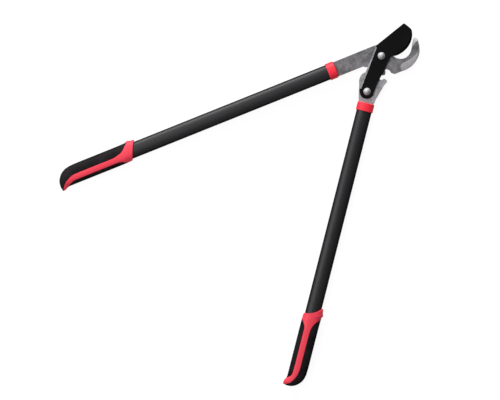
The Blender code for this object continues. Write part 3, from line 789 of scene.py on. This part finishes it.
class Handle:
    """Places points given as (along, out, up) from the free end of a handle's grip."""

    def __init__(self, side):
        self.side = side
        tube = node_points(f"{side}_tube")
        middle = (tube.max(0) + tube.min(0)) / 2
        along = np.linalg.svd(tube - tube.mean(0), full_matrices=False)[2][0]
        if along @ (middle - np.array(middle_of("main_pivot_bolt"))) < 0:
            along = -along
        up = np.array((0.0, 0.0, 1.0))
        out = np.cross(up, along)
        if out @ (np.array(VIEW_CENTRE) - middle) > 0:
            out = -out
        across = tube @ out
        grip = node_points(f"{side}_grip_core", f"{side}_grip_outer_pad")
        end = (grip @ along).max() + GRIP_TIP_SETBACK
        self.axes = np.array((along, out, up))
        self.origin = along * end + out * (across.max() + across.min()) / 2 + up * middle[2]

    def reach(self, node):
        """Where a node starts and ends along the handle."""
        along = ((node_points(node) - self.origin) @ self.axes.T)[:, 0]
        return along.min(), along.max()

    def place(self, points):
        """The points in the tool's own frame."""
        return np.asarray(points) @ self.axes + self.origin


HANDLES = [Handle("fixed"), Handle("moving")]
for handle in HANDLES:
    print(handle.side, "handle along", handle.axes[0].round(3), "out", handle.axes[1].round(3))

# %% [markdown]
# ## Tubes
#
# The section of a tube lies between an ellipse and a box with round corners: a superellipse. The wall is
# a second, smaller section, and both ends have their edges broken, as a saw cut has after deburring.

# %% Two oval tubes
OVAL_POWER = 2.2
TUBE_HALF = np.array((15.2, 10.0)) * MM
TUBE_WALL = 1.5 * MM
DEBURR = 0.3 * MM
FULL_TURN = np.linspace(0, math.tau, 96, endpoint=False)


def oval(half, power=OVAL_POWER, angles=FULL_TURN):
    """(out, up) points of a superellipse with these half sizes."""
    turn = np.stack((np.cos(angles), np.sin(angles)), -1)
    return np.sign(turn) * np.abs(turn) ** (2 / power) * half


def ring_at(handle, along, section):
    """The (out, up) points of a section, this far along the handle, in the tool's own frame.

    along is one distance, or one for each point.
    """
    return handle.place(np.column_stack((np.full(len(section), along), section)))


def oval_shell(handle, rings, caps=(0, -1)):
    """A skin through ovals given as (along, half sizes)."""
    return skin([ring_at(handle, along, oval(half)) for along, half in rings], caps=caps)


def make_tube(handle):
    node = f"{handle.side}_tube"
    start, end = handle.reach(node)
    inner = TUBE_HALF - TUBE_WALL
    rings = (
        (start + DEBURR, TUBE_HALF), (end - DEBURR, TUBE_HALF), (end, TUBE_HALF - DEBURR),
        (end, inner + DEBURR), (end - DEBURR, inner), (start + DEBURR, inner),
        (start, inner + DEBURR), (start, TUBE_HALF - DEBURR), (start + DEBURR, TUBE_HALF),
    )
    dress(node, oval_shell(handle, rings, caps=()), tube_paint)


for handle in HANDLES:
    make_tube(handle)

# %% [markdown]
# ## Collars
#
# A red collar closes the head end of each tube. Its skirt wraps the tube, a plug goes inside it, and a
# slot through both lets the steel plate in. The mould rounds every outer edge, so a rounded profile is
# lofted, and then the socket and the slot are cut and the plug joined on.

# %% Two collars
COLLAR_HALF = np.array((17.0, 12.0)) * MM
COLLAR_ROUNDING = 1.6 * MM
COLLAR_BACK_ROUNDING = COLLAR_ROUNDING * 0.6
COLLAR_WALL = 3.2 * MM
COLLAR_FIT = 0.3 * MM
COLLAR_LENGTH = 16.5 * MM
SOCKET_FLARE_LENGTH = 0.6 * MM
SOCKET_FLARE = 1.2 * MM
SLOT_HALF = np.array((12.7, 2.8)) * MM


def make_collar(handle):
    node = f"{handle.side}_collar"
    start, plug_end = handle.reach(node)
    end = start + COLLAR_LENGTH
    edge = (
        (start, 0, 0), (start, COLLAR_ROUNDING, COLLAR_ROUNDING),
        (end, COLLAR_ROUNDING, COLLAR_BACK_ROUNDING), (end, 0, 0),
    )
    rings = [(p.x, COLLAR_HALF - COLLAR_ROUNDING + p.y) for p in rounded(edge, steps=6)]
    collar = put_in_scene(f"{node}_detailed", oval_shell(handle, rings), collar_red)
    half = TUBE_HALF + COLLAR_FIT
    socket = (
        (start + COLLAR_WALL, half), (end - SOCKET_FLARE_LENGTH, half), (end + MM, half + SOCKET_FLARE)
    )
    combine(collar, oval_shell(handle, socket), "DIFFERENCE")
    half = TUBE_HALF - TUBE_WALL - COLLAR_FIT
    plug = ((start + COLLAR_WALL / 2, half), (plug_end - MM, half), (plug_end, half - MM))
    combine(collar, oval_shell(handle, plug), "UNION")
    corners = np.array(((1, 1), (-1, 1), (-1, -1), (1, -1))) * SLOT_HALF
    slot = [ring_at(handle, along, corners) for along in (start - MM, plug_end + MM)]
    combine(collar, skin(slot, caps=(0, -1)), "DIFFERENCE")
    collar.data.set_sharp_from_angle(angle=SHARP)
    stand_for(collar, node)


for handle in HANDLES:
    make_collar(handle)

# %% [markdown]
# ## A curve through uneven points
#
# The grip's outline is given by a few points, close together where it bends and far apart where it is
# straight. An ordinary smooth curve would swing out beside the long gaps. Here each point's slope is a
# harmonic mean of the slopes on both sides of it, and flat where they point opposite ways, so a straight
# run between two level points stays straight.

# %% Smooth curves
def run_of(points):
    """The distance run along a path, at each of its points."""
    steps = np.linalg.norm(np.diff(points, axis=0), axis=1)
    return np.concatenate(([0], np.cumsum(steps)))


def flow(points, run, samples):
    """The smooth curve through the points, read at these distances."""
    step = np.diff(run)[:, None]
    slope = np.diff(points, axis=0) / step
    before, after = slope[:-1], slope[1:]
    same_way = before * after > 0
    weight_before = 2 * step[1:] + step[:-1]
    weight_after = step[1:] + 2 * step[:-1]
    product = np.where(same_way, before * after, 0)
    spread = np.where(same_way, weight_before * after + weight_after * before, 1)
    lean = (weight_before + weight_after) * product / spread
    lean = np.vstack((slope[:1], lean, slope[-1:]))
    k = np.clip(np.searchsorted(run, samples, side="right") - 1, 0, len(run) - 2)
    t = ((samples - run[k]) / (run[k + 1] - run[k]))[:, None]
    start, end = points[k], points[k + 1]
    leave, arrive = lean[k] * step[k], lean[k + 1] * step[k]
    return (
        start * (2 * t**3 - 3 * t**2 + 1)
        + leave * (t**3 - 2 * t**2 + t)
        + end * (3 * t**2 - 2 * t**3)
        + arrive * (t**3 - t**2)
    )


def smooth_path(points, count):
    points = np.array(points) * MM
    run = run_of(points)
    return flow(points, run, np.linspace(0, run[-1], count))


print("curves are ready")

# %% [markdown]
# ## The grip's shape
#
# A grip is a red core with a ring at its front and a stripe down its face and back, and two soft pads
# either side of the stripe. Its outline is a row of stations: slanted lines across the grip, from its
# outer side to its inner side, with half the thickness there. More curves, seen from above, are the
# stripe's edges, where a pad meets the red. The stripe lies a little further out on the back than on the
# face, and the moving handle wears the same grip turned over. Each handle's grip is stretched and bent by
# a hair, as the photograph shows it.

# %% Stations and stripe edges, in millimetres
# (outer along, outer out, inner along, inner out, half thickness)
GRIP_STATIONS = (
    (-167, 18.1, -149.9, -16.9, 10.9),
    (-165.7, 18.9, -148.8, -17.9, 13.2),
    (-164.6, 19.1, -147.8, -18.1, 13.4),
    (-158, 20.1, -145.2, -18.3, 13.4),
    (-153, 21.8, -142.6, -18.4, 13.5),
    (-148, 19.5, -137, -18.6, 13.5),
    (-120, 18.9, -118, -18.8, 13.5),
    (-46, 18.8, -44, -18.8, 13.5),
    (-32, 18.2, -30, -18.8, 13.5),
    (-21, 15.8, -21.5, -18.8, 13.4),
    (-13, 11.5, -16.8, -19, 13),
    (-6.9, 5.5, -13.2, -19.8, 12.2),
    (-2.7, -1.4, -10.8, -20.9, 11),
    (-0.6, -9.2, -8.6, -22, 9.2),
    (-0.4, -15.6, -6.4, -22.9, 6.6),
    (-1.6, -20.4, -4.4, -23.2, 3),
)
STRIPE_EDGES = {
    ("outer", "face"): (
        (-2, -25), (-5, -19.6), (-8, -15.3), (-11, -12.3), (-14, -9.3), (-17, -7.6),
        (-20, -6.1), (-26, -3.2), (-32, -1.5), (-40, -0.8), (-80, -0.8), (-113, -0.8),
        (-120, 0), (-126, 1.4), (-131.5, 3), (-137, 5.9), (-143, 10.9), (-149, 17.2),
        (-151.8, 21.8), (-152.6, 25),
    ),
    ("outer", "back"): (
        (1, -25), (-2.4, -18.6), (-5, -13.6), (-8, -9.5), (-11, -7.2), (-14, -5),
        (-17, -3.3), (-20, -2.2), (-26, 0.4), (-30, 1.4), (-43, 2.6), (-80, 2.8),
        (-111, 3), (-122, 4), (-126, 5.3), (-130, 6.9), (-136, 10.4), (-141, 15.2),
        (-144.8, 18.9), (-148, 21.6), (-150.4, 25),
    ),
    ("inner", "face"): (
        (-12, -24), (-14.4, -19.4), (-18, -17.1), (-23, -14.6), (-29, -12.5), (-40, -12),
        (-80, -11.9), (-120, -12), (-127, -12.9), (-133, -15.4), (-139, -18.3), (-143, -24),
    ),
    ("inner", "back"): (
        (-12, -24), (-14.8, -20.6), (-17.4, -17.6), (-20.4, -13.6), (-23.5, -11.2), (-30, -10),
        (-43, -9.6), (-80, -9.5), (-119, -9.5), (-124, -10.2), (-128, -12), (-133, -15.2),
        (-138.5, -19), (-143, -24),
    ),
}
GRIP_POWER = 2.5
EDGE_POINTS = 400
SWELL_PLACE = -10.8 * MM
SWELL_REACH = 5 * MM


class GripForm:
    """The stations and the stripe's edges of one handle's grip.

    stretch is along and across the handle, and shift is how far the grip is moved along it. scoop is
    how far the ring's front bends back at its face, and swell how far the inner side bulges near the tip.
    """

    def __init__(self, stretch, shift, scoop, swell):
        along, across = stretch
        self.stations = np.array(GRIP_STATIONS) * MM * (along, across, along, across, 1)
        self.stations += np.array((shift, 0, shift, 0, 0))
        from_swell = (self.stations[:, 2] - SWELL_PLACE) / SWELL_REACH
        self.stations[:, 3] -= swell * np.exp(-(from_swell**2))
        self.run = run_of((self.stations[:, 0:2] + self.stations[:, 2:4]) / 2)
        self.edges = {}
        for place, points in STRIPE_EDGES.items():
            self.edges[place] = smooth_path(points, EDGE_POINTS) * stretch + (shift, 0)
        self.scoop = scoop
        print("a grip is", round(self.run[-1] / MM, 1), "mm long")


GRIP_FORMS = {
    "fixed": GripForm((1.018, 1.012), 0.9 * MM, 0.7 * MM, 0),
    "moving": GripForm((0.986, 0.980), 0, 3.6 * MM, 1.3 * MM),
}
TOP_FACE = {"fixed": "face", "moving": "back"}

# %% [markdown]
# ## Rows across the grip
#
# The skin is a grid of rows, one behind the other. For each row, the place where a stripe's edge crosses
# it is worked out, and one point falls exactly there. The border between red and black is then an edge of
# the mesh, and can have a real groove.

# %% Rows
ROW_STEP = 1.2 * MM
SCOOP_REACH = 13 * MM
SCOOP_POWER = 3
TIP_ROWS = 6
TIP_REACH = 1.3 * MM
TIP_SHARE = 1e-4
# The share that stands for an edge which doesn't cross the row.
NOWHERE = 9.0
OUTWARD = {"outer": 1, "inner": -1}
TOUCH = 1e-6
HALVINGS = 24


class Row:
    """One line across a grip: its middle, its direction, its half sizes, and the pads' edges on it.

    An edge is a share of the half width, from 1 at the outer side to -1 at the inner one.
    """

    def __init__(self, form, distance):
        values = flow(form.stations, form.run, np.array((distance,)))[0]
        outer, inner = values[0:2], values[2:4]
        self.middle = (outer + inner) / 2
        self.half_width = np.linalg.norm(outer - inner) / 2
        self.across = (outer - inner) / (2 * self.half_width)
        self.half_height = values[4]
        self.scoop = form.scoop * max(0, 1 - distance / SCOOP_REACH) ** 2
        self.shares = {place: self.crossing(form.edges[place], place[0]) for place in form.edges}

    def crossing(self, edge, side):
        offset = edge - self.middle
        beside = self.across[0] * offset[:, 1] - self.across[1] * offset[:, 0]
        found = []
        for i in np.nonzero(beside[:-1] * beside[1:] <= 0)[0]:
            t = beside[i] / (beside[i] - beside[i + 1])
            point = offset[i] * (1 - t) + offset[i + 1] * t
            found.append(point @ self.across / self.half_width)
        return min(found, key=abs) if found else NOWHERE * OUTWARD[side]

    def has_pad(self, side):
        return any(abs(self.shares[side, face]) <= 1 + TOUCH for face in ("face", "back"))

    def scoop_at(self, section):
        """How far each point of the section lies behind the row's line."""
        return self.scoop * np.abs(section[:, 1] / self.half_height) ** SCOOP_POWER

    def shrunk(self, share, reach):
        """A copy for the rounded tip: smaller, and moved on along the grip."""
        twin = copy(self)
        twin.half_width = self.half_width * share
        twin.half_height = self.half_height * share
        onward = np.array((-self.across[1], self.across[0]))
        onward *= -np.sign(onward[1])
        twin.middle = self.middle + onward * reach
        return twin


def where_pad_ends(form, side, low, high):
    """The distance between two rows at which a pad's last edge reaches the grip's side."""
    low_has = Row(form, low).has_pad(side)
    for _ in range(HALVINGS):
        middle = (low + high) / 2
        if Row(form, middle).has_pad(side) == low_has:
            low = middle
        else:
            high = middle
    return low if low_has else high


def all_rows(form):
    distances = list(np.arange(0, form.run[-1], ROW_STEP)) + [form.run[-1]]
    extra = []
    for side in ("outer", "inner"):
        present = [Row(form, distance).has_pad(side) for distance in distances]
        for i, (now, then) in enumerate(zip(present, present[1:])):
            if now != then:
                extra.append(where_pad_ends(form, side, distances[i], distances[i + 1]))
    rows = [Row(form, distance) for distance in sorted(distances + extra)]
    last = rows[-1]
    for turn in np.linspace(0, math.pi / 2, TIP_ROWS + 1)[1:]:
        rows.append(last.shrunk(max(math.cos(turn), TIP_SHARE), TIP_REACH * math.sin(turn)))
    return rows


GRIP_ROWS = {side: all_rows(form) for side, form in GRIP_FORMS.items()}
print({side: len(rows) for side, rows in GRIP_ROWS.items()}, "rows")

# %% [markdown]
# ## Sections of core and pads
#
# A row's section is a superellipse. The red stripe lies on it, and beside the stripe the core drops to a
# bed two millimetres lower, which a pad fills. Where they meet, both are rounded by sinking the points
# near the edge along a quarter circle.

# %% Strips with rounded edges
PAD_DEPTH = 2.2 * MM
PAD_GAP = 0.3 * MM
STRIPE_ROUNDING = 0.55 * MM
PAD_ROUNDING = 1.0 * MM
ROUNDING_STEPS = 4
HALF_TURN = np.linspace(0, math.pi, 241)
# Keeps a pad that ends on its row from a division by zero.
LEAST_LENGTH = 1e-9
# Where a row is narrow, each takes at most this share of its room.
ROUNDING_SHARE = 0.5
STRIPE_SHARE = 0.45
BED_SHARE = 0.7
PAD_SHARE = 0.6


class Section:
    """The upper half of a row's section, from the outer side over the top to the inner side."""

    def __init__(self, row):
        half = np.array((row.half_width, row.half_height))
        points = oval(half, GRIP_POWER, HALF_TURN)
        slope = np.abs(points / half) ** (GRIP_POWER - 1) * np.sign(points) / half
        self.table = np.hstack((points, slope / np.linalg.norm(slope, axis=1)[:, None]))
        self.run = run_of(points)
        self.half_width = row.half_width

    def run_at(self, share):
        """The distance run at a place given as a share of the half width."""
        return np.interp(-np.clip(share, -1, 1), -self.table[:, 0] / self.half_width, self.run)

    def read(self, distances, sink):
        """Points at these distances, sunk below the surface."""
        values = np.stack([np.interp(distances, self.run, column) for column in self.table.T], -1)
        return values[:, :2] - values[:, 2:] * np.reshape(sink, (-1, 1))


def strip_samples(start, end, start_rounding, end_rounding, count):
    """Distances from start to end, closer over the rounded edges, and how far each is sunk."""
    curve = 1 - np.cos(np.linspace(0, math.pi / 2, ROUNDING_STEPS + 1))
    inner = np.linspace(start + start_rounding, end - end_rounding, count)
    ends = start + start_rounding * curve[:-1], end - end_rounding * curve[-2::-1]
    distances = np.concatenate((ends[0], inner, ends[1]))
    sink = np.zeros(len(distances))
    for edge, rounding in ((start, start_rounding), (end, end_rounding)):
        left = np.maximum(rounding - np.abs(distances - edge), 0)
        sink += rounding - np.sqrt(np.maximum(rounding**2 - left**2, 0))
    return distances, sink


def mirrored(points):
    """The same points under the grip, in the other order."""
    return points[::-1] * (1, -1)


def half_core(row, face, strip_count=30, bed_count=14):
    """The stripe and the two beds beside it, over one face of a row."""
    section = Section(row)
    start, end = (section.run_at(row.shares[side, face]) for side in ("outer", "inner"))
    outer_bed, inner_bed = start, section.run[-1] - end
    limit = (end - start) * STRIPE_SHARE
    roundings = [min(STRIPE_ROUNDING, bed * ROUNDING_SHARE, limit) for bed in (outer_bed, inner_bed)]
    stripe = section.read(*strip_samples(start, end, *roundings, strip_count))
    beds = []
    for low, high, width in ((end, section.run[-1], inner_bed), (0, start, outer_bed)):
        sink = min(PAD_DEPTH, width * BED_SHARE)
        beds.append(section.read(np.linspace(low, high, bed_count), sink))
    return stripe, *beds


def half_pad(row, side, face, count=30):
    """A pad's outside and inside, over one face of a row."""
    section = Section(row)
    edge = section.run_at(row.shares[side, face] + PAD_GAP / row.half_width * OUTWARD[side])
    limit = 0.0 if side == "outer" else section.run[-1]
    length = abs(edge - limit)
    rounding = min(PAD_ROUNDING, length * ROUNDING_SHARE)
    depth = min(PAD_DEPTH - PAD_GAP, length * PAD_SHARE)
    distances, sink = strip_samples(0, length, rounding, 0, count)
    outside = section.read(edge + (limit - edge) * distances / max(length, LEAST_LENGTH), sink)
    inside = section.read(np.linspace(limit, edge, count), max(depth, rounding))
    return outside, inside


UNDER = {"face": "back", "back": "face"}


def core_section(row, top):
    stripe, inner, outer = half_core(row, top)
    low_stripe, low_inner, low_outer = map(mirrored, half_core(row, UNDER[top]))
    return np.vstack((stripe, inner, low_inner, low_stripe, low_outer, outer))


def pad_section(row, side, top):
    outside, inside = half_pad(row, side, top)
    low_outside, low_inside = map(mirrored, half_pad(row, side, UNDER[top]))
    return np.vstack((outside, low_outside, low_inside, inside))


def place_section(handle, row, section):
    """The section's points on the row, in the tool's own frame."""
    plan = row.middle + section[:, :1] * row.across
    plan[:, 0] += row.scoop_at(section)
    return handle.place(np.column_stack((plan, section[:, 1])))


print("a core section has", len(core_section(GRIP_ROWS["fixed"][0], "face")), "points")

# %% [markdown]
# ## The core's mouth
#
# At its front the core is open, and the tube goes in. The front face is slanted like the first row, so
# the points of the tube's section are moved along the handle until they lie in that row's plane.

# %% The socket for the tube
SOCKET_FIT = 0.12 * MM
MOUTH_ROUNDING = 0.3 * MM
SOCKET_END = -33.7 * MM


def socket_rings(handle, row, section):
    """Rings from the bottom of the socket out to the mouth, matched to the section's points."""
    angles = np.arctan2(section[:, 1] / row.half_height, section[:, 0] / row.half_width)
    hole = oval(TUBE_HALF + SOCKET_FIT, angles=angles)
    lip = oval(TUBE_HALF + SOCKET_FIT + MOUTH_ROUNDING, angles=angles)
    slant = row.across[0] / row.across[1]
    scooped = row.scoop_at(section)

    def in_plane(points, deeper):
        along = row.middle[0] + (points[:, 0] - row.middle[1]) * slant + scooped + deeper
        return ring_at(handle, along, points)

    return [ring_at(handle, SOCKET_END, hole), in_plane(hole, MOUTH_ROUNDING), in_plane(lip, 0)]


# %% Cores and pads
def make_core(handle):
    node = f"{handle.side}_grip_core"
    rows = GRIP_ROWS[handle.side]
    sections = [core_section(row, TOP_FACE[handle.side]) for row in rows]
    rings = [place_section(handle, row, section) for row, section in zip(rows, sections)]
    dress(node, skin(socket_rings(handle, rows[0], sections[0]) + rings, caps=(0,)), grip_red)


def make_pad(handle, side):
    node = f"{handle.side}_grip_{side}_pad"
    top = TOP_FACE[handle.side]
    kept = [row for row in GRIP_ROWS[handle.side] if row.has_pad(side)]
    rings = [place_section(handle, row, pad_section(row, side, top)) for row in kept]
    dress(node, skin(rings), pad_rubber)


for handle in HANDLES:
    make_core(handle)
    make_pad(handle, "outer")
    make_pad(handle, "inner")

# %% [markdown]
# ## Rivets
#
# One rivet under each collar holds plate, plug and tube together. It can't be seen, so its solid stays as
# it is and only takes the plated steel.

# %% Materials on the solids that stay
for handle in HANDLES:
    rivet = frame["nodes"][f"{handle.side}_tongue_rivet"]
    rivet.data.materials.clear()
    rivet.data.materials.append(bright_steel)
    print(rivet.name, "wears", bright_steel.name)

# %% [markdown]
# ## Floor and light
#
# Pictures of tools on pure white are taken on a light table, a white sheet that glows from below and
# swallows nearly every shadow. The floor here glows too. Black cards around the tool keep that glow out
# of its gloss, and hiding the floor from reflections does the same. Light comes from a wide softbox
# beyond the top of the picture, so the tubes are grey along their upper side and nearly black along their
# lower one. A weaker box on the left lights the moving handle, and a faint one beyond the bottom lifts
# the darkest edges. Flat faces look straight up, past them all, which is why the black blade stays black.

# %% Floor
FLOOR_REACH = 60

sheet = Finish("white_light_table", Roughness=0.9, Specular_IOR_Level=0, Emission_Strength=1.0)
cloud = sheet.noise(200 * MM)
colour = sheet.mix(cloud, (0.10, 0.10, 0.10), (0.12, 0.12, 0.12))
glow = sheet.mix(cloud, (0.93, 0.93, 0.93), (0.95, 0.95, 0.95))
light_table = sheet.shade(Base_Color=colour, Emission_Color=glow)
light_table.cycles.emission_sampling = "NONE"
bm = bmesh.new()
bmesh.ops.create_grid(bm, x_segments=1, y_segments=1, size=FLOOR_REACH)
floor = put_in_scene("floor", written(bm, bpy.data.meshes.new("floor")), light_table)
floor.visible_glossy = False
print("floor laid")

# %% Lights and world
RIGHT = Vector((math.cos(PICTURE_TURN), math.sin(PICTURE_TURN), 0))
UP_IN_PICTURE = Vector((-math.sin(PICTURE_TURN), math.cos(PICTURE_TURN), 0))


def softbox(name, right, up, height, size, power):
    """A soft light placed from the picture's middle, in metres, and aimed at it."""
    data = bpy.data.lights.new(name, "AREA")
    data.shape = "RECTANGLE"
    data.size, data.size_y = size
    data.energy = power
    light = bpy.data.objects.new(name, data)
    light.location = VIEW_CENTRE + RIGHT * right + UP_IN_PICTURE * up + Vector((0, 0, height))
    light.rotation_euler = (VIEW_CENTRE - light.location).to_track_quat("-Z", "Y").to_euler()
    light.visible_camera = False
    bpy.context.scene.collection.objects.link(light)


softbox("top_box", -0.3, 1.9, 0.95, (3.0, 0.8), 61)
softbox("left_box", -1.15, 0.1, 1.95, (2.0, 1.6), 27)
softbox("low_box", 0.6, -1.7, 1.6, (2.0, 0.8), 3)

# A dim even room above the floor, and nothing below it.
ROOM_LIGHT = 0.11

world = bpy.data.worlds.new("studio")
world.use_nodes = True
room = NodeWork(world.node_tree)
direction = room.node("ShaderNodeTexCoord", output="Generated")
height = room.node("ShaderNodeSeparateXYZ", sockets={0: direction}, output="Z")
background = world.node_tree.nodes["Background"].inputs
background["Color"].default_value = (1, 1, 1, 1)
room.feed(background["Strength"], room.ramp(height, 0, 0.1) * ROOM_LIGHT)
bpy.context.scene.world = world
bpy.context.scene.view_settings.view_transform = "Standard"
